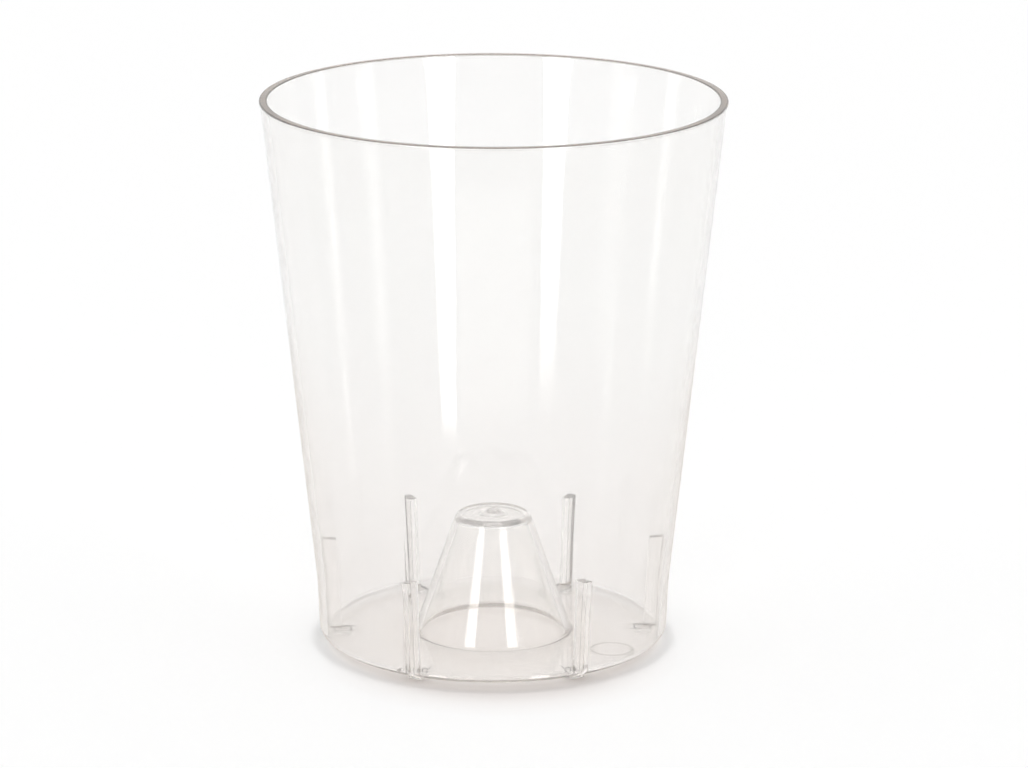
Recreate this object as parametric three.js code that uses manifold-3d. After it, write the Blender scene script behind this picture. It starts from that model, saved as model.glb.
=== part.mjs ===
// Clear plastic orchid pot: a tapered wall with a knee, a hollow cone in the floor, six ribs and six feet.
// Millimetres, +Z up. The origin is the middle of the foot soles, and the front of the pot faces -Y.

import * as THREE from 'three';
import { mergeVertices } from 'three/addons/utils/BufferGeometryUtils.js';
import Module from 'manifold-3d';

// Pot body
const potHeight = 156.2; // foot soles to the top of the rim
const rimDiameter = 130; // across the outside of the lip
const baseDiameter = 98.5; // across the wall's taper at the underside of the floor
const wallThickness = 2; // measured level
const lipHeight = 0.7; // lip round the mouth
const lipOverhang = 0.3; // how far the lip stands proud of the wall
const lipEdgeRadius = 0.35; // rounding of the lip's two top edges
const heelBandHeight = 16.3; // lower band of the wall, from the underside of the floor to the knee
const heelBandDraft = 2.46; // taper of that band, in degrees
const heelRadius = 3.5; // rounding of the outer edge under the floor
const floorThickness = 1.4;
const floorFillet = 0.4; // inside corner between the floor and the wall

// Cone in the middle of the floor
const coneHeight = 34.1; // from the floor to the top of the cap
const coneFootDiameter = 44.6; // where the cone's slope meets the floor
const coneCapDiameter = 20.66; // where the cone's slope meets the level of the cap
const coneWall = 1.7; // measured level
const coneFootFillet = 1.2; // outside corner between the cone and the floor
const capThickness = 2;
const capShoulderRadius = 1.8; // rounded edge of the cap
const mouthRadius = 1; // rounded edge of the hollow, under the floor
const nubDiameter = 6.6; // gate mark on the cap
const nubHeight = 1.5;
const nubTip = 0.25; // rounding of its tip, as a share of its radius

// Ribs inside the wall and feet under them
const ribCount = 6;
const ribHeight = 26.5; // above the floor
const ribDepth = 4.1; // from the wall towards the middle, at the floor
const ribEdgeDraft = 3.45; // lean of the rib's free edge, in degrees
const ribRootWidth = 2.45; // at the wall
const ribEdgeWidth = 2.35; // at the free edge
const ribClearance = 0.3; // between a rib and the wall
const footHeight = 1.4;
const footWidth = 4;
const footLength = 5.5; // towards the middle
const footCornerRadius = 0.8;

// Fineness of round forms
const roundSegments = 72;
const arcSegments = 4;
const tipSegments = 6;
const nubSegments = 36;
const samePoint = 1e-6; // points closer than this are one point

// Levels and radii that follow from the sizes above
const rimRadius = rimDiameter / 2;
const baseRadius = baseDiameter / 2;
const lipLevel = potHeight - lipHeight;
const floorLevel = footHeight + floorThickness;
const kneeLevel = footHeight + heelBandHeight;
const ribLevel = floorLevel + ribHeight;
const capLevel = floorLevel + coneHeight;
const capSeatLevel = capLevel - capThickness;
const wallTopRadius = rimRadius - lipOverhang;
const kneeRadius = baseRadius + heelBandHeight * slope(heelBandDraft);
const heelLevel = footHeight + heelRadius;
const filletLevel = floorLevel + floorFillet;

function slope(degrees) {
  return Math.tan(THREE.MathUtils.degToRad(degrees));
}

function along(from, to, share) {
  return from + (to - from) * share;
}

// Outer and inner surface of the wall at a level: one taper below the knee and another above it
function wallOutside(level) {
  if (level <= kneeLevel) {
    return along(baseRadius, kneeRadius, (level - footHeight) / heelBandHeight);
  }
  return along(kneeRadius, wallTopRadius, (level - kneeLevel) / (lipLevel - kneeLevel));
}

function wallInside(level) {
  return wallOutside(level) - wallThickness;
}

// Outer face of the lower band between two levels, from below: the rounded heel, then the taper
function outerFace(from, to) {
  const turn = (level) => Math.asin(THREE.MathUtils.clamp((level - heelLevel) / heelRadius, -1, 0));
  const heel = arc(wallOutside(heelLevel) - heelRadius, heelLevel, heelRadius, turn(from), turn(to));
  const taper = [from, to].filter((level) => level > heelLevel).map((level) => at(wallOutside(level), level));
  return from > heelLevel ? taper : [...heel, ...taper];
}

// Fillet inside the wall where it stands on the floor, from the wall down
function floorCorner() {
  return arc(wallInside(filletLevel) - floorFillet, filletLevel, floorFillet, 0, -Math.PI / 2);
}

// Outer and inner surface of the cone at a level
function coneOutside(level) {
  return along(coneFootDiameter, coneCapDiameter, (level - floorLevel) / coneHeight) / 2;
}

function coneInside(level) {
  return coneOutside(level) - coneWall;
}

// Points of an arc in a section, with radius across and level up; angles in radians
function arc(radiusAt, levelAt, size, from, to, steps = arcSegments) {
  return Array.from({ length: steps + 1 }, (_, i) => {
    const angle = along(from, to, i / steps);
    return new THREE.Vector2(radiusAt + size * Math.cos(angle), levelAt + size * Math.sin(angle));
  });
}

const at = (radius, level) => new THREE.Vector2(radius, level);

// A section turned round the pot's axis, with +Z up. A ring's section closes on itself, and the section of
// a solid disc starts and ends on the axis. Sections run anticlockwise, and repeated points count once.
function turned(points, segments = roundSegments) {
  const section = points.filter((point, i) => i === 0 || point.distanceTo(points[i - 1]) > samePoint);
  const onAxis = section[0].x === 0;
  const outline = onAxis ? section : [...section, section[0]];
  return new THREE.LatheGeometry(outline, segments).rotateX(Math.PI / 2);
}

const wasm = await Module();
wasm.setup();

function toSolid(geometry) {
  const bare = geometry.clone();
  bare.deleteAttribute('normal');
  bare.deleteAttribute('uv');
  const merged = mergeVertices(bare);
  return new wasm.Manifold(
    new wasm.Mesh({
      numProp: 3,
      vertProperties: new Float32Array(merged.attributes.position.array),
      triVerts: new Uint32Array(merged.index.array),
    }),
  );
}

function fromSolid(solid) {
  const mesh = solid.getMesh();
  const geometry = new THREE.BufferGeometry();
  geometry.setAttribute('position', new THREE.BufferAttribute(mesh.vertProperties, 3));
  geometry.setIndex(new THREE.BufferAttribute(mesh.triVerts, 1));
  geometry.computeVertexNormals();
  return geometry;
}

// Lip round the mouth: level under side, rounded top edges
function rimLip() {
  const inner = wallInside(lipLevel);
  const edge = Math.min(lipEdgeRadius, lipHeight);
  const roundLevel = potHeight - edge;
  return turned([
    at(inner, lipLevel),
    at(rimRadius, lipLevel),
    ...arc(rimRadius - edge, roundLevel, edge, 0, Math.PI / 2),
    ...arc(inner + edge, roundLevel, edge, Math.PI / 2, Math.PI),
  ]);
}

// Long tapered wall from the knee to the lip
function sideWall() {
  return turned([
    at(wallInside(kneeLevel), kneeLevel),
    at(wallOutside(kneeLevel), kneeLevel),
    at(wallOutside(lipLevel), lipLevel),
    at(wallInside(lipLevel), lipLevel),
  ]);
}

// Lower band of the wall, from the top of the floor to the knee
function heelBand() {
  return turned([
    ...floorCorner(),
    ...outerFace(floorLevel, kneeLevel),
    at(wallInside(kneeLevel), kneeLevel),
  ]);
}

// Floor with the lower part of the heel outside and the rounded mouth of the cone's hollow in the middle
function floorRing() {
  const mouth = Math.min(mouthRadius, floorThickness);
  const hole = coneInside(floorLevel);
  return turned([
    at(hole, floorLevel),
    ...arc(hole + mouth, footHeight + mouth, mouth, Math.PI, Math.PI * 1.5),
    ...outerFace(footHeight, floorLevel),
  ]);
}

// Unit normal of the cone's slope in its section
function coneNormal() {
  return at(coneHeight, (coneFootDiameter - coneCapDiameter) / 2).normalize();
}

// Hollow cone with a fillet at its foot, up to the seat of the cap
function centreCone() {
  const normal = coneNormal();
  const fillet = Math.min(coneFootFillet, capSeatLevel - floorLevel);
  const filletCentre = coneOutside(floorLevel) + (fillet * (1 - normal.y)) / normal.x;
  const slopeAngle = Math.PI + Math.atan2(normal.y, normal.x);
  return turned([
    at(coneInside(floorLevel), floorLevel),
    ...arc(filletCentre, floorLevel + fillet, fillet, Math.PI * 1.5, slopeAngle, arcSegments + 1),
    at(coneOutside(capSeatLevel), capSeatLevel),
    at(coneInside(capSeatLevel), capSeatLevel),
  ]);
}

// Cap of the cone with a rounded shoulder that runs into the slope
function coneCap() {
  const normal = coneNormal();
  const shoulder = Math.min(capShoulderRadius, capThickness);
  const shoulderLevel = capLevel - shoulder;
  const shoulderCentre = coneOutside(shoulderLevel) - shoulder / normal.x;
  const slopeAngle = Math.atan2(normal.y, normal.x);
  return turned([
    at(0, capSeatLevel),
    at(coneOutside(capSeatLevel), capSeatLevel),
    ...arc(shoulderCentre, shoulderLevel, shoulder, slopeAngle, Math.PI / 2),
    at(0, capLevel),
  ]);
}

// Gate mark: a low cone with a rounded tip
function gateNub() {
  const fall = (share) => Math.hypot(share, nubTip);
  const side = Array.from({ length: tipSegments + 1 }, (_, i) => {
    const share = 1 - i / tipSegments;
    const rise = (fall(1) - fall(share)) / (fall(1) - fall(0));
    return at((nubDiameter / 2) * share, capLevel + nubHeight * rise);
  });
  return turned([at(0, capLevel), ...side], nubSegments);
}

// A flat outline given thickness upwards from its own plane
function plate(points, thickness) {
  const options = { depth: thickness, bevelEnabled: false };
  return new THREE.ExtrudeGeometry(new THREE.Shape(points), options);
}

// Upright rib along +X: its side view follows the wall inside, its plan tapers to the free edge
function rib() {
  const backLevels = [filletLevel, kneeLevel, ribLevel].filter((level) => level <= ribLevel);
  const footEdge = wallInside(floorLevel) - ribDepth;
  const topEdge = footEdge + ribHeight * slope(ribEdgeDraft);
  const sideView = plate(
    [
      at(footEdge, floorLevel),
      at(wallInside(filletLevel) - floorFillet - ribClearance, floorLevel),
      ...backLevels.map((level) => at(wallInside(level) - ribClearance, level)),
      at(topEdge, ribLevel),
    ],
    ribRootWidth,
  );
  sideView.translate(0, 0, -ribRootWidth / 2);
  sideView.rotateX(Math.PI / 2);

  const root = Math.max(wallInside(floorLevel), wallInside(ribLevel));
  const edge = Math.min(footEdge, topEdge);
  const plan = plate(
    [
      at(edge, -ribEdgeWidth / 2),
      at(root, -ribRootWidth / 2),
      at(root, ribRootWidth / 2),
      at(edge, ribEdgeWidth / 2),
    ],
    potHeight,
  );
  return fromSolid(toSolid(sideView).intersect(toSolid(plan)));
}

// Low foot along +X under the floor, with rounded corners
function foot() {
  const outer = baseRadius - heelRadius;
  const inner = outer - footLength;
  const half = footWidth / 2;
  const corner = Math.min(footCornerRadius, half);
  const cornerAt = (radius, side, quarter) =>
    arc(radius, side, corner, (quarter * Math.PI) / 2, ((quarter + 1) * Math.PI) / 2);
  return plate(
    [
      ...cornerAt(outer - corner, half - corner, 0),
      ...cornerAt(inner + corner, half - corner, 1),
      ...cornerAt(inner + corner, corner - half, 2),
      ...cornerAt(outer - corner, corner - half, 3),
    ],
    footHeight,
  );
}

// Clear, hard plastic with a polished face
function clearPlastic() {
  return new THREE.MeshStandardMaterial({
    color: 0xf2efeb,
    roughness: 0.06,
    metalness: 0,
    transparent: true,
    opacity: 0.3,
  });
}

function piece(name, geometry) {
  const mesh = new THREE.Mesh(geometry, clearPlastic());
  mesh.name = name;
  return mesh;
}

const pot = new THREE.Group();
pot.add(piece('rim_lip', rimLip()));
pot.add(piece('side_wall', sideWall()));
pot.add(piece('heel_band', heelBand()));
pot.add(piece('floor_ring', floorRing()));
pot.add(piece('centre_cone', centreCone()));
pot.add(piece('cone_cap', coneCap()));
pot.add(piece('gate_nub', gateNub()));

// Ribs and feet in pairs round the pot, the first pair on the +X axis
for (let i = 0; i < ribCount; i += 1) {
  const pair = new THREE.Group();
  pair.add(piece(`rib_${i + 1}`, rib()));
  pair.add(piece(`foot_${i + 1}`, foot()));
  pair.rotation.z = (i * 2 * Math.PI) / ribCount;
  pot.add(pair);
}

export default pot;
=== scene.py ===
"""Looks of a clear moulded orchid pot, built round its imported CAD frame."""
import math

import bpy
import numpy as np
from bpy.props import FloatProperty, FloatVectorProperty, IntProperty, PointerProperty
from mathutils import Matrix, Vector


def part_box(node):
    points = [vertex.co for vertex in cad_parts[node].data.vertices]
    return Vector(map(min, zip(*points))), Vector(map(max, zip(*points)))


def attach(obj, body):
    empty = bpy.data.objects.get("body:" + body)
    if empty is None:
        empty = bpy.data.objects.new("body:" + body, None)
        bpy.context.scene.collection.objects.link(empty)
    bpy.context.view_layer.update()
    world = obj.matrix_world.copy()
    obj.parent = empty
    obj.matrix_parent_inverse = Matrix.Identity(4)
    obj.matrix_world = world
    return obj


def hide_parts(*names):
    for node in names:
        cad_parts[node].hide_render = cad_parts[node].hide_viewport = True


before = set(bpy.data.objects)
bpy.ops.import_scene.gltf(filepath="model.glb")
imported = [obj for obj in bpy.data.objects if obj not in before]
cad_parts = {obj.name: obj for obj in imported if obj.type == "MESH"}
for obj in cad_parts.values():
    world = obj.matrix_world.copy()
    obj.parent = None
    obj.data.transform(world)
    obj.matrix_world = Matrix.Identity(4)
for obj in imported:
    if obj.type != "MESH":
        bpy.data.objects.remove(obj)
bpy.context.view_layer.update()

bl_info = {
    "name": "Clear Orchid Pot",
    "version": (1, 0, 0),
    "blender": (4, 5, 0),
    "location": "View3D > Sidebar > Orchid Pot",
    "description": "Builds a clear moulded orchid pot and a plain white stage for it",
    "category": "Add Mesh",
}

MM = 0.001
LEVEL_TOLERANCE = 0.02 * MM
RIB_COUNT = sum(name.startswith("rib_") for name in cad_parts)

# Mesh rows on the moulding's straight stretches
CAP_ROWS = 3
CONE_ROWS = 6
FLOOR_ROWS = 4
LOWER_WALL_ROWS = 3
KNEE_ROWS = 6
RIB_TOP_ROWS = 3
INNER_WALL_ROWS = 15
LIP_ROWS = 2
OUTER_WALL_ROWS = 17
UNDERSIDE_ROWS = 6
HOLLOW_ROWS = 6
CEILING_ROWS = 3

# Mesh steps of larger roundings, against those of a small one
NUB_FINENESS = 3.0
BEND_FINENESS = 1.5
HEEL_FINENESS = 2.0

# Open floor before the ribs, shares of the way from there to the ribs, shares of the way along a foot's
# sole, and the share of the ceiling's radius at which its last ring lies
RIB_CLEARANCE = 3 * MM
RIB_APPROACH = (0.5, 1.0)
SOLE_SHARES = (0.33, 0.67)
CEILING_LAST = 0.25

# Floor colour by distance, a painted shadow of the pot: under the pot from its axis, beside it from the
# shadow's middle, and as the wall's sides mirror it from a place behind the pot, a painted reflection; the
# first two meet at the heel's edge
UNDER_SHADE = (
    (0.020, (0.865, 0.83, 0.81)),
    (0.030, (0.925, 0.895, 0.875)),
    (0.036, (0.955, 0.93, 0.92)),
    (0.041, (0.90, 0.875, 0.865)),
    (0.046, (0.77, 0.735, 0.715)),
)
BESIDE_SHADE = (
    (0.030, (0.81, 0.775, 0.757)),
    (0.0345, (0.852, 0.82, 0.804)),
    (0.037, (0.895, 0.868, 0.855)),
    (0.040, (0.935, 0.917, 0.907)),
    (0.045, (0.975, 0.966, 0.961)),
    (0.051, (1.0, 1.0, 1.0)),
)
MIRRORED_SHADE = ((0.15, (0.875, 0.83, 0.785)), (0.27, (1.0, 1.0, 1.0)))
POT_MIDDLE = (0.0, 0.0, 0.0)
MIRRORED_MIDDLE = (0.0, 0.12, 0.0)
HEEL_EDGE = (0.044, 0.049)

# Floor disc: how far it lies under the soles, its size and its matt finish
FLOOR_GAP = 0.05 * MM
FLOOR_RADIUS = 6.0
FLOOR_CORNERS = 96
FLOOR_ROUGHNESS = 0.9
FLOOR_GLOSS = 0.1

# Round mark that the mould left on the floor: its middle, radius and line width, and a stretch of heights
# that keeps it to the floor's top face
MARK_MIDDLE = (32.4 * MM, -21.1 * MM)
MARK_RADIUS = 5.6 * MM
MARK_LINE = 0.9 * MM
MARK_STRETCH = 50.0

# Width of the painted dark reflection along the lip's edges, and the depths under its top between which the
# lip's painted reflection comes in
PAINTED_EDGE_LINE = 0.65 * MM
LIP_REFLECTION_START = 0.3 * MM
LIP_REFLECTION_FULL = 0.1 * MM

# Depths inside the wall at the knee between which the painted shade low on the wall comes in
WALL_SHADE_START = 3 * MM
WALL_SHADE_FULL = 1 * MM

# Faint haze and moulding waves of the plastic
HAZE_SCALE = 400.0
HAZE_DETAIL = 4.0
WAVE_SCALE = 60.0
WAVE_DETAIL = 1.0
WAVE_DEPTH = 0.0005 * MM

# Strength of the even white room, and of a softbox at its foot
PLAIN_LEVEL = 1.0

# Softboxes before the pot and dim cards round it: name, azimuth from the front in degrees and outline as
# widths at heights; each softbox has its own share of the height over which its glow comes up
SOFTBOX_REACH = 0.5
SOFTBOXES = (
    ("softbox_left", -36.5, ((0.076, 0.0), (0.108, 0.12), (0.178, 0.2425)), 0.45),
    ("softbox_right", 28.1, ((0.0845, 0.0), (0.119, 0.12), (0.186, 0.2425)), 0.12),
)
CARD_REACH = 0.6
CARD_FADE = 0.15
CARDS = (
    ("card_front", -2.0, ((0.48, 0.0), (0.48, 0.11))),
    ("card_left", -72.0, ((0.07, 0.0), (0.07, 0.285))),
    ("card_far_left", -111.0, ((0.06, 0.0), (0.06, 0.285))),
    ("card_right", 70.0, ((0.07, 0.0), (0.07, 0.285))),
    ("card_far_right", 104.0, ((0.06, 0.0), (0.06, 0.285))),
)

# Light bounces that rays caught inside the clear wall need
MAX_BOUNCES = 256
TRANSMISSION_BOUNCES = 128
DIFFUSE_BOUNCES = 16

# Camera, in degrees: its turn round the pot, then its aim to the side, its aim down and its roll
CAMERA_TURN = -1.5
CAMERA_ASIDE = -0.266
CAMERA_DOWN = 15.246
CAMERA_ROLL = 0.16
SENSOR_WIDTH = 36.0


def ring_radii(node, level):
    """Smallest and largest radius of a CAD node's corners at a level."""
    corners = [v.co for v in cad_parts[node].data.vertices if abs(v.co.z - level) < LEVEL_TOLERANCE]
    radii = [math.hypot(co.x, co.y) for co in corners]
    return min(radii), max(radii)


def low(node):
    """Lowest corner of a CAD node's box."""
    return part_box(node)[0]


def high(node):
    """Highest corner of a CAD node's box."""
    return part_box(node)[1]


# Rounding of the CAD pot's outer edge under the floor
HEEL = 3.5 * MM

# Levels of the CAD pot, from the soles up
UNDERSIDE = low("floor_ring").z
FLOOR = high("floor_ring").z
KNEE = low("side_wall").z
RIB_TOP = high("rib_1").z
CAP_SEAT = high("centre_cone").z
CAP_TOP = high("cone_cap").z
NUB_TOP = high("gate_nub").z
LIP = low("rim_lip").z
POT_TOP = high("rim_lip").z

# Radii of the CAD pot at those levels
RIM = high("rim_lip").x
WALL_IN_KNEE, WALL_OUT_KNEE = ring_radii("side_wall", KNEE)
WALL_IN_TOP, WALL_OUT_TOP = ring_radii("side_wall", LIP)
WALL_OUT_HEEL = ring_radii("heel_band", UNDERSIDE + HEEL)[1]
CONE_IN_FLOOR = ring_radii("centre_cone", FLOOR)[0]
CONE_IN_SEAT, CONE_OUT_SEAT = ring_radii("centre_cone", CAP_SEAT)
CONE_WALL = CONE_OUT_SEAT - CONE_IN_SEAT
NUB = high("gate_nub").x
RIB_EDGE_FOOT = ring_radii("rib_1", FLOOR)[0]
RIB_EDGE_TOP = ring_radii("rib_1", RIB_TOP)[0]
FOOT_OUTER, FOOT_INNER = high("foot_1").x, low("foot_1").x

# Slope of the cone, and the same as an angle from upright
CONE_SLOPE = (CONE_IN_FLOOR - CONE_IN_SEAT) / (CAP_SEAT - FLOOR)
CONE_LEAN = math.atan(CONE_SLOPE)


def length(name, description, default):
    """A size property in metres."""
    return FloatProperty(
        name=name, description=description, default=default, min=0.0, unit="LENGTH", precision=5
    )


def share(name, description, default):
    """A property from 0 to 1."""
    return FloatProperty(
        name=name, description=description, default=default, min=0.0, max=1.0, subtype="FACTOR"
    )


def colour(name, description, default):
    """A linear colour property."""
    return FloatVectorProperty(
        name=name, description=description, default=default, min=0.0, max=1.0, subtype="COLOR"
    )


def number(name, description, default, least, unit="NONE"):
    """A number property with a lower limit."""
    return FloatProperty(name=name, description=description, default=default, min=least, unit=unit)


def count(name, description, default, least):
    """A whole-number property with a lower limit."""
    return IntProperty(name=name, description=description, default=default, min=least)


class PotShape(bpy.types.PropertyGroup):
    """Roundings and small forms of the moulding that the CAD boxes don't give."""

    lip_edge: length("Lip edge", "Rounding of the lip's top edges", 0.35 * MM)
    lip_root: length("Lip root", "Rounding under the lip", 0.2 * MM)
    knee_blend: length("Knee blend", "Half the height over which the two tapers run together", 1.5 * MM)
    heel: length("Heel", "Rounding of the outer edge under the floor", HEEL)
    floor_fillet: length("Floor fillet", "Inside corner at the foot of the wall and the ribs", 0.35 * MM)
    cone_fillet: length("Cone fillet", "Corner between the cone and the floor", 1.2 * MM)
    cap_shoulder: length("Cap shoulder", "Rounded edge of the cap", 1.8 * MM)
    mouth: length("Hollow mouth", "Rounded edge of the hollow under the floor", 1.0 * MM)
    ceiling: length("Hollow ceiling", "Rounded corner inside the hollow, under the cap", 2.0 * MM)
    nub_tip: share("Gate mark tip", "Rounding of the gate mark's tip, as a share of its radius", 0.25)
    rib_root: length("Rib root width", "Width of a rib at the wall", 2.45 * MM)
    rib_edge: length("Rib edge width", "Width of a rib at its free edge", 2.35 * MM)
    rib_fillet: length("Rib fillet", "Corner between a rib and the wall", 0.25 * MM)
    rib_round: length("Rib rounding", "Rounding of a rib's free edges", 0.3 * MM)
    rib_fall: length("Rib fall", "How far a rib's top falls towards the middle", 0.15 * MM)
    foot_sole: length("Foot sole width", "Width of a foot at its sole", 3.8 * MM)
    foot_round: length("Foot rounding", "Rounding of a foot's edges", 0.25 * MM)
    columns: count("Columns", "Mesh columns between two ribs", 64, 8)
    arc_steps: count("Arc steps", "Mesh steps in each rounding", 4, 2)


class PlasticFinish(bpy.types.PropertyGroup):
    """Clear plastic of the moulding, with painted shade low on the wall and a painted dark reflection on
    the lip.
    """

    tint: colour("Tint", "Colour of the clear plastic", (0.992, 0.992, 0.990))
    # Painted shade: below a level the wall turns darker and warmer, standing in for the shaded floor seen
    # through it
    painted_wall_shade: colour("Deep tint", "Colour of the plastic low on the wall", (0.971, 0.960, 0.955))
    mark_tint: colour("Mark tint", "Colour of the round mark on the floor", (0.52, 0.49, 0.47))
    # Painted reflection: the lip's brown and its darker edges stand in for the dark room that the rim shows
    painted_lip_reflection: colour("Lip tint", "Colour of the flat of the lip", (0.74, 0.58, 0.46))
    painted_lip_edge_reflection: colour("Lip edge tint", "Colour of the lip's two edges", (0.17, 0.12, 0.09))
    painted_shade_start: length("Deep tint start", "Level below which the wall has the deep tint", 25 * MM)
    painted_shade_end: length("Deep tint end", "Level at which the deep tint ends", 105 * MM)
    ior: number("IOR", "Index of refraction of the plastic", 1.57, 1.0)
    roughness: share("Roughness", "Roughness of the polished faces", 0.02)
    clarity: share("Clarity", "Share of the light that the plastic lets through, against its haze", 0.92)
    smoke: colour("Smoke", "Colour that the plastic takes on in depth", (0.69, 0.60, 0.48))
    density: number("Density", "How fast the plastic takes on that colour", 18.0, 0.0)


class StudioStage(bpy.types.PropertyGroup):
    """White stage, lights and camera."""

    shadow_shift: length("Shadow shift", "How far the soft shadow's middle lies before the axis", 0.020)
    shadow_side: length("Shadow side shift", "How far that middle lies to the right of the axis", 0.0015)
    softbox: number("Softbox", "Strength of the two tall softboxes", 9.0, 0.0)
    card: number("Card", "Strength of the dim cards round the pot", 1.6, 0.0)
    distance: length("Camera distance", "Level distance from the pot's axis to the camera", 1.2519)
    height: length("Camera height", "Height of the camera above the soles", 0.4154)
    focal: number("Focal length", "Focal length of the camera", 161.4, 1.0, "CAMERA")


def polar(radius, angle, level):
    """A point by its radius, its angle round the axis and its level."""
    return radius * math.cos(angle), radius * math.sin(angle), level


def turned(along, across, turn, level):
    """A point given along and across a rib or foot, turned to that one's place round the axis."""
    cos, sin = math.cos(turn), math.sin(turn)
    return along * cos - across * sin, along * sin + across * cos, level


def both_sides(half):
    """Whole section of a bar from its half section, which ends at the bar's middle."""
    return [(rise, -side) for rise, side in half] + [(rise, side) for rise, side in half[-2::-1]]


class Moulding:
    """Rings of points of the moulding, from the nub out over the floor, up, over the rim and back under."""

    def __init__(self, shape):
        self.shape = shape
        self.steps = shape.arc_steps
        self.rings = []
        self.set_columns()

    def quarter(self):
        """Angles of a quarter turn, in even steps."""
        return np.radians(np.linspace(0, 90, self.steps + 1))

    def arc(self, radius, level, size, start, end, fineness=1.0):
        """Section points of an arc; angles in degrees."""
        angles = np.radians(np.linspace(start, end, round(self.steps * fineness) + 1))
        return [(radius + size * math.cos(a), level + size * math.sin(a)) for a in angles]

    def straight(self, start, end, pieces):
        """Section points after start up to end on a straight line."""
        return [
            (start[0] + (end[0] - start[0]) * s, start[1] + (end[1] - start[1]) * s)
            for s in np.linspace(0, 1, pieces + 1)[1:]
        ]

    def step_section(self, root_half, edge_half, rise, fillet, rounding):
        """Half section of a raised bar, from the face it stands on to its middle: (rise, offset) points."""
        slant = (root_half - edge_half) / rise
        points = []
        for a in self.quarter():
            points.append((fillet * (1 - math.cos(a)), root_half + fillet * (1 - math.sin(a))))
        for a in self.quarter():
            lift = rise - rounding * (1 - math.sin(a))
            points.append((lift, edge_half - rounding * (1 - math.cos(a)) + slant * (rise - lift)))
        points.append((rise, 0.0))
        return points

    def set_columns(self):
        """Columns round the pot: those across each rib and foot, and even ones between the ribs."""
        shape = self.shape
        self.depth = WALL_IN_KNEE - 0.5 * (RIB_EDGE_FOOT + RIB_EDGE_TOP)
        rib_half = self.step_section(
            shape.rib_root / 2, shape.rib_edge / 2, self.depth, shape.rib_fillet, shape.rib_round
        )
        foot_half = self.step_section(
            high("foot_1").y, shape.foot_sole / 2, UNDERSIDE, shape.foot_round, shape.foot_round
        )
        across = both_sides(rib_half)
        foot_across = both_sides(foot_half)
        edge_angle = math.asin(across[-1][1] / WALL_IN_KNEE)
        sector = 2 * math.pi / RIB_COUNT
        between = np.linspace(edge_angle, sector - edge_angle, shape.columns + 1)[1:-1]
        self.columns = []
        for k in range(RIB_COUNT):
            turn = k * sector
            for (rise, side), (foot_rise, foot_side) in zip(across, foot_across):
                angle = math.asin(side / WALL_IN_KNEE)
                self.columns.append((turn, angle, rise, side, foot_rise, foot_side))
            self.columns += [(turn, angle, 0.0, None, 0.0, None) for angle in between]

    def put(self, points):
        """Adds one ring of points."""
        self.rings.append(points)

    def plain(self, section):
        """Adds round rings through section points."""
        for radius, level in section:
            self.put([polar(radius, turn + angle, level) for turn, angle, *_ in self.columns])

    def wall_radius(self, level, outside):
        """Radius of the wall's outer or inner face at a level, with a soft knee."""
        knee, top = (WALL_OUT_KNEE, WALL_OUT_TOP) if outside else (WALL_IN_KNEE, WALL_IN_TOP)
        lower = (WALL_OUT_KNEE - WALL_OUT_HEEL) / (KNEE - UNDERSIDE - HEEL)
        upper = (top - knee) / (LIP - KNEE)
        rise = level - KNEE
        blend = math.hypot(rise, self.shape.knee_blend)
        return knee + 0.5 * (lower + upper) * rise + 0.5 * (upper - lower) * blend

    def wall_face(self, start, end, rows, outside):
        """Adds round rings on a face of the wall, after start up to end."""
        levels = np.linspace(start, end, rows + 1)[1:]
        self.plain([(self.wall_radius(level, outside), level) for level in levels])

    def rib_reach(self, level):
        """How far a rib stands in from the wall at a level."""
        edge = RIB_EDGE_FOOT + (RIB_EDGE_TOP - RIB_EDGE_FOOT) * (level - FLOOR) / (RIB_TOP - FLOOR)
        return self.wall_radius(level, False) - edge

    def ribbed(self, level, offset=0.0, limit=None):
        """A ring on the inner wall and round the ribs, offset inwards; limit caps how far ribs stand in."""
        radius = self.wall_radius(level, False) - offset
        scale = self.rib_reach(level) / self.depth
        points = []
        for turn, angle, rise, side, *_ in self.columns:
            if side is None:
                points.append(polar(radius, turn + angle, level))
                continue
            depth = rise * scale
            if limit is not None:
                depth = min(depth, limit)
            across = side + math.copysign(offset, side) if side else 0.0
            along = math.sqrt(radius * radius - across * across) - depth
            points.append(turned(along, across, turn, level))
        return points

    def ribbed_rows(self, start, end, rows):
        """Adds ribbed rings after start up to end."""
        for level in np.linspace(start, end, rows + 1)[1:]:
            self.put(self.ribbed(level))

    def footed(self, radius, drop):
        """A ring under the floor at a radius, where feet reach down by at most drop."""
        points = []
        for turn, angle, _, _, rise, side in self.columns:
            if side is None:
                points.append(polar(radius, turn + angle, UNDERSIDE))
                continue
            along = math.sqrt(radius * radius - side * side)
            points.append(turned(along, side, turn, UNDERSIDE - min(rise, drop)))
        return points

    def cone_radius(self, level):
        """Radius of the cone's outer slope at a level."""
        foot = CONE_IN_FLOOR + CONE_WALL
        return foot + (CONE_OUT_SEAT - foot) * (level - FLOOR) / (CAP_SEAT - FLOOR)

    def cone_and_floor(self):
        """Gate nub, cap, cone and the open floor."""
        shape = self.shape
        tip = shape.nub_tip
        for s in np.linspace(0, 1, round(self.steps * NUB_FINENESS) + 1)[1:]:
            fall = (math.hypot(s, tip) - tip) / (math.hypot(1, tip) - tip)
            self.plain([(NUB * s, CAP_TOP + (NUB_TOP - CAP_TOP) * (1 - fall))])

        lean = math.degrees(CONE_LEAN)
        shoulder = shape.cap_shoulder
        centre = self.cone_radius(CAP_TOP - shoulder) - shoulder / math.cos(CONE_LEAN)
        self.plain(self.straight((NUB, CAP_TOP), (centre - shoulder / 2, CAP_TOP), CAP_ROWS))
        edge = self.arc(centre, CAP_TOP - shoulder, shoulder, 90, lean, BEND_FINENESS)
        self.plain(edge)

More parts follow.
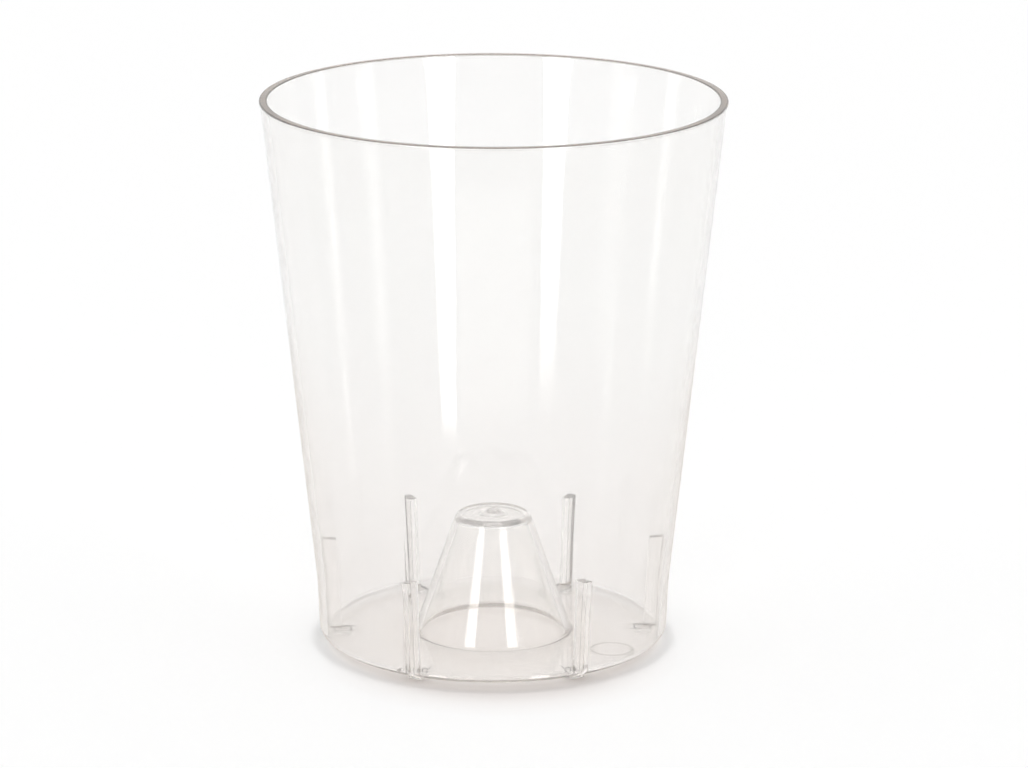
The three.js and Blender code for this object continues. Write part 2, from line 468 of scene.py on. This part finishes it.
        fillet = shape.cone_fillet
        foot = self.cone_radius(FLOOR) + fillet * (1 - math.sin(CONE_LEAN)) / math.cos(CONE_LEAN)
        bend = self.arc(foot, FLOOR + fillet, fillet, 180 + lean, 270, BEND_FINENESS)
        self.plain(self.straight(edge[-1], bend[0], CONE_ROWS))
        self.plain(bend[1:])
        self.plain(self.straight(bend[-1], (RIB_EDGE_FOOT - RIB_CLEARANCE, FLOOR), FLOOR_ROWS))

    def ribs_and_wall(self):
        """Floor out to the ribs and the wall, the ribs, and the inner wall up to the lip."""
        shape = self.shape
        fillet = shape.floor_fillet
        start = np.array(self.rings[-1])
        end = np.array(self.ribbed(FLOOR, fillet))
        for s in RIB_APPROACH:
            self.put([tuple(point) for point in start + (end - start) * s])
        for a in self.quarter()[1:]:
            self.put(self.ribbed(FLOOR + fillet * (1 - math.cos(a)), fillet * (1 - math.sin(a))))

        bend = 2 * shape.knee_blend
        rounding = shape.rib_round
        top_edge = RIB_TOP - shape.rib_fall
        self.ribbed_rows(FLOOR + fillet, KNEE - bend, LOWER_WALL_ROWS)
        self.ribbed_rows(KNEE - bend, KNEE + bend, KNEE_ROWS)
        self.ribbed_rows(KNEE + bend, top_edge - rounding, LOWER_WALL_ROWS)

        reach = self.rib_reach(RIB_TOP)
        for a in self.quarter()[1:]:
            limit = reach - rounding * (1 - math.cos(a))
            self.put(self.ribbed(top_edge - rounding * (1 - math.sin(a)), 0.0, limit))
        for s in np.linspace(0, 1, RIB_TOP_ROWS + 1)[1:]:
            limit = reach - rounding + (2 * rounding - reach) * s
            self.put(self.ribbed(top_edge + shape.rib_fall * s, 0.0, limit))
        for a in self.quarter()[1:]:
            limit = rounding * (1 - math.sin(a))
            self.put(self.ribbed(RIB_TOP + rounding * (1 - math.cos(a)), 0.0, limit))
        self.wall_face(RIB_TOP + rounding, LIP, INNER_WALL_ROWS, False)

    def rim_and_outside(self):
        """Lip, outer wall and heel."""
        shape = self.shape
        edge, root, heel = shape.lip_edge, shape.lip_root, shape.heel
        inner = self.wall_radius(LIP, False)
        self.plain(self.arc(inner + edge, POT_TOP - edge, edge, 180, 90))
        self.plain(self.straight((inner + edge, POT_TOP), (RIM - edge, POT_TOP), LIP_ROWS))
        self.plain(self.arc(RIM - edge, POT_TOP - edge, edge, 90, 0)[1:])
        self.plain(self.arc(RIM - root, LIP + root, root, 0, -90))

        bend = 2 * shape.knee_blend
        self.plain([(self.wall_radius(LIP - root, True), LIP - root)])
        self.wall_face(LIP - root, KNEE + bend, OUTER_WALL_ROWS, True)
        self.wall_face(KNEE + bend, KNEE - bend, KNEE_ROWS, True)
        self.wall_face(KNEE - bend, UNDERSIDE + heel, LOWER_WALL_ROWS, True)
        base = self.wall_radius(UNDERSIDE + heel, True)
        self.plain(self.arc(base - heel, UNDERSIDE + heel, heel, 0, -90, HEEL_FINENESS)[1:])

    def underside(self):
        """Underside of the floor with the feet, the hollow's mouth, its slope and its ceiling."""
        shape = self.shape
        rounding = shape.foot_round
        section = self.step_section(0.0, -rounding, UNDERSIDE, rounding, rounding)[:-1]
        for rise, offset in section:
            self.put(self.footed(FOOT_OUTER + offset - rounding, rise))
        for s in SOLE_SHARES:
            self.put(self.footed(FOOT_OUTER + (FOOT_INNER - FOOT_OUTER) * s, UNDERSIDE))
        for rise, offset in section[::-1]:
            self.put(self.footed(FOOT_INNER - offset + rounding, rise))

        hole, mouth = CONE_IN_FLOOR, shape.mouth
        feet_end = (FOOT_INNER - 2 * rounding, UNDERSIDE)
        self.plain(self.straight(feet_end, (hole + mouth, UNDERSIDE), UNDERSIDE_ROWS))
        self.plain(self.arc(hole + mouth, UNDERSIDE + mouth, mouth, 270, 180)[1:])

        corner = shape.ceiling
        level = CAP_SEAT - corner
        centre = CONE_IN_FLOOR - CONE_SLOPE * (level - FLOOR) - corner / math.cos(CONE_LEAN)
        bend = self.arc(centre, level, corner, math.degrees(CONE_LEAN), 90)
        self.plain(self.straight((hole, UNDERSIDE + mouth), bend[0], HOLLOW_ROWS))
        self.plain(bend[1:])
        self.plain(self.straight((centre, CAP_SEAT), (centre * CEILING_LAST, CAP_SEAT), CEILING_ROWS))

    def mesh(self, name):
        """Closes the rings into one mesh, with a point on the axis at each end."""
        self.cone_and_floor()
        self.ribs_and_wall()
        self.rim_and_outside()
        self.underside()
        across = len(self.columns)
        points = [point for ring in self.rings for point in ring]
        top, bottom = len(points), len(points) + 1
        points += [(0.0, 0.0, NUB_TOP), (0.0, 0.0, CAP_SEAT)]
        last = (len(self.rings) - 1) * across
        faces = []
        for j in range(across):
            k = (j + 1) % across
            faces.append((top, j, k))
            faces.append((last + k, last + j, bottom))
        for i in range(len(self.rings) - 1):
            a, b = i * across, (i + 1) * across
            for j in range(across):
                k = (j + 1) % across
                faces.append((a + j, b + j, b + k, a + k))
        data = bpy.data.meshes.new(name)
        data.from_pydata(points, [], faces)
        data.polygons.foreach_set("use_smooth", [True] * len(faces))
        data.validate()
        return data


def node_material(name):
    """A new material with nodes, and its node tree."""
    material = bpy.data.materials.new(name)
    material.use_nodes = True
    return material, material.node_tree


def opaque(tint):
    """A colour with full alpha, as node sockets take it."""
    return (*tint, 1.0)


def fill(tree, socket, value):
    """Links an output to an input, or sets the input to a plain value."""
    if isinstance(value, bpy.types.NodeSocket):
        tree.links.new(value, socket)
    else:
        socket.default_value = value


def reckoned(tree, kind, operation, *values):
    """A math node of a kind, with its inputs filled in order."""
    node = tree.nodes.new(kind)
    node.operation = operation
    for socket, value in zip(node.inputs, values):
        fill(tree, socket, value)
    return node


def scalar(tree, operation, *values):
    """Output of a math node on numbers."""
    return reckoned(tree, "ShaderNodeMath", operation, *values).outputs["Value"]


def distance(tree, place, middle):
    """Output that gives how far a place lies from a middle."""
    return reckoned(tree, "ShaderNodeVectorMath", "DISTANCE", place, middle).outputs["Value"]


def stretched(tree, place, factors):
    """Output that gives a place with its three coordinates multiplied."""
    return reckoned(tree, "ShaderNodeVectorMath", "MULTIPLY", place, factors).outputs["Vector"]


def object_place(tree):
    """Output that gives the place on the object."""
    return tree.nodes.new("ShaderNodeTexCoord").outputs["Object"]


def smooth_step(tree, value, start, end, first=0.0, last=1.0):
    """Output that goes smoothly from first to last as a value goes from start to end."""
    step = tree.nodes.new("ShaderNodeMapRange")
    step.interpolation_type = "SMOOTHSTEP"
    step.inputs["From Min"].default_value = start
    step.inputs["From Max"].default_value = end
    step.inputs["To Min"].default_value = first
    step.inputs["To Max"].default_value = last
    tree.links.new(value, step.inputs["Value"])
    return step.outputs["Result"]


def blended(tree, share_of, base, other):
    """Output that goes from one colour to another by a share."""
    mix = tree.nodes.new("ShaderNodeMix")
    mix.data_type = "RGBA"
    tree.links.new(share_of, mix.inputs["Factor"])
    fill(tree, mix.inputs["A"], base)
    fill(tree, mix.inputs["B"], other)
    return mix.outputs["Result"]


def noise(tree, place, scale, detail):
    """Output of even noise."""
    texture = tree.nodes.new("ShaderNodeTexNoise")
    texture.inputs["Scale"].default_value = scale
    texture.inputs["Detail"].default_value = detail
    tree.links.new(place, texture.inputs["Vector"])
    return texture.outputs["Fac"]


def apart(tree, value, middle):
    """Output that gives how far a number lies from a middle, either way."""
    return scalar(tree, "ABSOLUTE", scalar(tree, "SUBTRACT", value, middle))


def floor_mark(tree, place):
    """Share from 0 to 1 along the line of the round mark on the floor."""
    tall = stretched(tree, place, (1.0, 1.0, MARK_STRETCH))
    away = distance(tree, tall, (*MARK_MIDDLE, FLOOR * MARK_STRETCH))
    return smooth_step(tree, apart(tree, away, MARK_RADIUS), MARK_LINE, 0.0)


def lip_reflection_colour(tree, radius, finish):
    """Painted dark reflection on the lip's top, darker still along its two edges."""
    half = 0.5 * (RIM - WALL_IN_TOP)
    off = apart(tree, radius, RIM - half)
    edge = smooth_step(tree, off, half - PAINTED_EDGE_LINE, half - 0.5 * PAINTED_EDGE_LINE)
    return blended(tree, edge, opaque(finish.painted_lip_reflection), opaque(finish.painted_lip_edge_reflection))


def colour_and_painted_shade(tree, place, finish):
    """Colour of the plastic by place: painted shade low on the wall, the mould's mark on the floor, and a
    painted dark reflection on the lip.
    """
    axes = tree.nodes.new("ShaderNodeSeparateXYZ")
    tree.links.new(place, axes.inputs["Vector"])
    level = axes.outputs["Z"]
    radius = distance(tree, stretched(tree, place, (1.0, 1.0, 0.0)), POT_MIDDLE)
    # Painted shade: the wall darker and warmer towards the bottom, standing in for the shaded floor seen
    # through it
    on_wall = smooth_step(tree, radius, WALL_IN_KNEE - WALL_SHADE_START, WALL_IN_KNEE - WALL_SHADE_FULL)
    deep = smooth_step(tree, level, finish.painted_shade_end, finish.painted_shade_start)
    painted_shade_share = scalar(tree, "MULTIPLY", on_wall, deep)
    wall_colour_and_shade = blended(tree, painted_shade_share, opaque(finish.tint), opaque(finish.painted_wall_shade))
    marked = blended(tree, floor_mark(tree, place), wall_colour_and_shade, opaque(finish.mark_tint))
    # Painted dark reflection of the room on the lip's top
    on_lip = smooth_step(tree, level, POT_TOP - LIP_REFLECTION_START, POT_TOP - LIP_REFLECTION_FULL)
    return blended(tree, on_lip, marked, lip_reflection_colour(tree, radius, finish))


def clear_plastic(name, finish):
    """Clear moulded plastic: polished, with faint haze and the gentle waves that moulding leaves."""
    material, tree = node_material(name)
    shader = tree.nodes["Principled BSDF"]
    shader.inputs["IOR"].default_value = finish.ior
    shader.inputs["Transmission Weight"].default_value = finish.clarity
    place = object_place(tree)
    tree.links.new(colour_and_painted_shade(tree, place, finish), shader.inputs["Base Color"])

    haze = noise(tree, place, HAZE_SCALE, HAZE_DETAIL)
    tree.links.new(scalar(tree, "MULTIPLY", haze, 2 * finish.roughness), shader.inputs["Roughness"])

    bump = tree.nodes.new("ShaderNodeBump")
    bump.inputs["Distance"].default_value = WAVE_DEPTH
    tree.links.new(noise(tree, place, WAVE_SCALE, WAVE_DETAIL), bump.inputs["Height"])
    tree.links.new(bump.outputs["Normal"], shader.inputs["Normal"])

    smoke = tree.nodes.new("ShaderNodeVolumeAbsorption")
    smoke.inputs["Color"].default_value = opaque(finish.smoke)
    smoke.inputs["Density"].default_value = finish.density
    tree.links.new(smoke.outputs["Volume"], tree.nodes["Material Output"].inputs["Volume"])
    return material


class ORCHIDPOT_OT_moulding(bpy.types.Operator):
    """Build the clear moulding: wall, rim, floor, cone, ribs and feet in one piece"""

    bl_idname = "orchidpot.moulding"
    bl_label = "Make Moulding"

    def execute(self, context):
        scene = context.scene
        data = Moulding(scene.orchid_pot_shape).mesh("pot_moulding")
        data.materials.append(clear_plastic("clear_moulding", scene.orchid_pot_finish))
        pot = bpy.data.objects.new("pot_moulding", data)
        scene.collection.objects.link(pot)
        pot.modifiers.new("Flat faces stay flat", "WEIGHTED_NORMAL")
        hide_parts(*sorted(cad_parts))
        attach(pot, "root")
        return {"FINISHED"}


def shade_ramp(tree, middle, stops):
    """Distance from a place on the floor, and the colour there through stops of distance and colour."""
    away = distance(tree, object_place(tree), middle)
    span = stops[-1][0]
    ramp = tree.nodes.new("ShaderNodeValToRGB")
    elements = ramp.color_ramp.elements
    while len(elements) < len(stops):
        elements.new(1.0)
    for element, (reach, shade) in zip(elements, stops):
        element.position = reach / span
        element.color = opaque(shade)
    tree.links.new(scalar(tree, "DIVIDE", away, span), ramp.inputs["Fac"])
    return away, ramp.outputs["Color"]


def white_floor(stage):
    """White matt floor with the pot's soft shadow painted into its colour, lying mostly before the pot, and
    a painted reflection tone.
    """
    material, tree = node_material("pale_floor")
    shader = tree.nodes["Principled BSDF"]
    shader.inputs["Roughness"].default_value = FLOOR_ROUGHNESS
    shader.inputs["Specular IOR Level"].default_value = FLOOR_GLOSS
    # Painted shadow: under the pot by distance from its axis, beside it by distance from the shadow's
    # middle
    radius, under = shade_ramp(tree, POT_MIDDLE, UNDER_SHADE)
    _, beside = shade_ramp(tree, (stage.shadow_side, -stage.shadow_shift, 0.0), BESIDE_SHADE)
    shadow = blended(tree, smooth_step(tree, radius, *HEEL_EDGE), under, beside)

    # A transmitted ray counts as glossy too, so only what is left over is a mirrored one
    # Painted reflection: near a place behind the pot, the floor is darker and beige only where the wall
    # mirrors it
    _, mirrored = shade_ramp(tree, MIRRORED_MIDDLE, MIRRORED_SHADE)
    rays = tree.nodes.new("ShaderNodeLightPath").outputs
    kind = reckoned(tree, "ShaderNodeMath", "SUBTRACT", rays["Is Glossy Ray"], rays["Is Transmission Ray"])
    kind.use_clamp = True
    tree.links.new(blended(tree, kind.outputs["Value"], shadow, mirrored), shader.inputs["Base Color"])
    return material


def white_world():
    """Even white room light."""
    world = bpy.data.worlds.new("white_room")
    world.use_nodes = True
    back = world.node_tree.nodes["Background"]
    back.inputs["Color"].default_value = opaque((1.0, 1.0, 1.0))
    back.inputs["Strength"].default_value = PLAIN_LEVEL
    return world


def softbox_glow(name, strength, fade):
    """White glow that comes up from the softbox's foot over a share of its height."""
    material, tree = node_material(name)
    tree.nodes.remove(tree.nodes["Principled BSDF"])
    axes = tree.nodes.new("ShaderNodeSeparateXYZ")
    tree.links.new(tree.nodes.new("ShaderNodeTexCoord").outputs["Generated"], axes.inputs["Vector"])
    glow = tree.nodes.new("ShaderNodeEmission")
    level = smooth_step(tree, axes.outputs["Z"], 0.0, fade, PLAIN_LEVEL, strength)
    tree.links.new(level, glow.inputs["Strength"])
    tree.links.new(glow.outputs["Emission"], tree.nodes["Material Output"].inputs["Surface"])
    return material


def softbox(name, azimuth, outline, reach, material):
    """A softbox or card that faces the pot from a reach; the cameras and the floor don't see it."""
    corners = [(width / 2, 0.0, height) for width, height in outline]
    corners += [(-width / 2, 0.0, height) for width, height in reversed(outline)]
    data = bpy.data.meshes.new(name)
    data.from_pydata(corners, [], [tuple(range(len(corners)))])
    data.materials.append(material)
    rig = bpy.data.objects.new(name, data)
    turn = math.radians(azimuth)
    rig.location = (reach * math.sin(turn), -reach * math.cos(turn), 0.0)
    rig.rotation_euler = (0.0, 0.0, turn)
    rig.visible_camera = False
    rig.visible_diffuse = False
    bpy.context.scene.collection.objects.link(rig)


def rotation(degrees, axis):
    """Rotation matrix about an axis."""
    return Matrix.Rotation(math.radians(degrees), 4, axis)


def front_camera(stage):
    """Camera at the photograph's viewing angle."""
    eye = bpy.data.cameras.new("front_view")
    eye.sensor_width = SENSOR_WIDTH
    eye.lens = stage.focal
    camera = bpy.data.objects.new("front_view", eye)
    spot = Matrix.Translation((0.0, -stage.distance, stage.height))
    aim = rotation(CAMERA_ASIDE, "Z") @ rotation(90 - CAMERA_DOWN, "X")
    camera.matrix_world = rotation(CAMERA_TURN, "Z") @ spot @ aim @ rotation(CAMERA_ROLL, "Z")
    return camera


class ORCHIDPOT_OT_stage(bpy.types.Operator):
    """Set the white floor, the softboxes and the camera"""

    bl_idname = "orchidpot.stage"
    bl_label = "Set Stage"

    def execute(self, context):
        scene = context.scene
        stage = scene.orchid_pot_stage
        bpy.ops.mesh.primitive_circle_add(vertices=FLOOR_CORNERS, radius=FLOOR_RADIUS, fill_type="NGON")
        floor = context.object
        floor.name = "pale_floor"
        floor.location.z = -FLOOR_GAP
        floor.data.materials.append(white_floor(stage))

        scene.world = white_world()
        for name, azimuth, outline, fade in SOFTBOXES:
            bright = softbox_glow(name + "_glow", stage.softbox, fade)
            softbox(name, azimuth, outline, SOFTBOX_REACH, bright)
        dim = softbox_glow("card_glow", stage.card, CARD_FADE)
        for name, azimuth, outline in CARDS:
            softbox(name, azimuth, outline, CARD_REACH, dim)
        scene.cycles.max_bounces = MAX_BOUNCES
        scene.cycles.glossy_bounces = MAX_BOUNCES
        scene.cycles.transmission_bounces = TRANSMISSION_BOUNCES
        scene.cycles.diffuse_bounces = DIFFUSE_BOUNCES
        scene.cycles.blur_glossy = 0.0

        scene.camera = front_camera(stage)
        scene.collection.objects.link(scene.camera)
        scene.view_settings.view_transform = "Standard"
        return {"FINISHED"}


class ORCHIDPOT_PT_panel(bpy.types.Panel):
    """Sizes, finish and stage of the orchid pot"""

    bl_idname = "ORCHIDPOT_PT_panel"
    bl_label = "Orchid Pot"
    bl_space_type = "VIEW_3D"
    bl_region_type = "UI"
    bl_category = "Orchid Pot"

    def draw(self, context):
        for name in PROPERTY_GROUPS:
            group = getattr(context.scene, name)
            column = self.layout.column()
            for key in group.__annotations__:
                column.prop(group, key)
        for operator in OPERATORS:
            self.layout.operator(operator.bl_idname)


PROPERTY_GROUPS = {
    "orchid_pot_shape": PotShape,
    "orchid_pot_finish": PlasticFinish,
    "orchid_pot_stage": StudioStage,
}
OPERATORS = (ORCHIDPOT_OT_moulding, ORCHIDPOT_OT_stage)
CLASSES = (*PROPERTY_GROUPS.values(), *OPERATORS, ORCHIDPOT_PT_panel)


def register():
    """Registers the classes and gives each scene its settings."""
    for item in CLASSES:
        bpy.utils.register_class(item)
    for name, group in PROPERTY_GROUPS.items():
        setattr(bpy.types.Scene, name, PointerProperty(type=group))


def unregister():
    """Takes the settings and the classes away again."""
    for name in PROPERTY_GROUPS:
        delattr(bpy.types.Scene, name)
    for item in reversed(CLASSES):
        bpy.utils.unregister_class(item)


def main():
    """Builds the pot and its stage."""
    register()
    bpy.ops.orchidpot.moulding()
    bpy.ops.orchidpot.stage()
    bpy.context.view_layer.update()


if __name__ == "__main__":
    main()
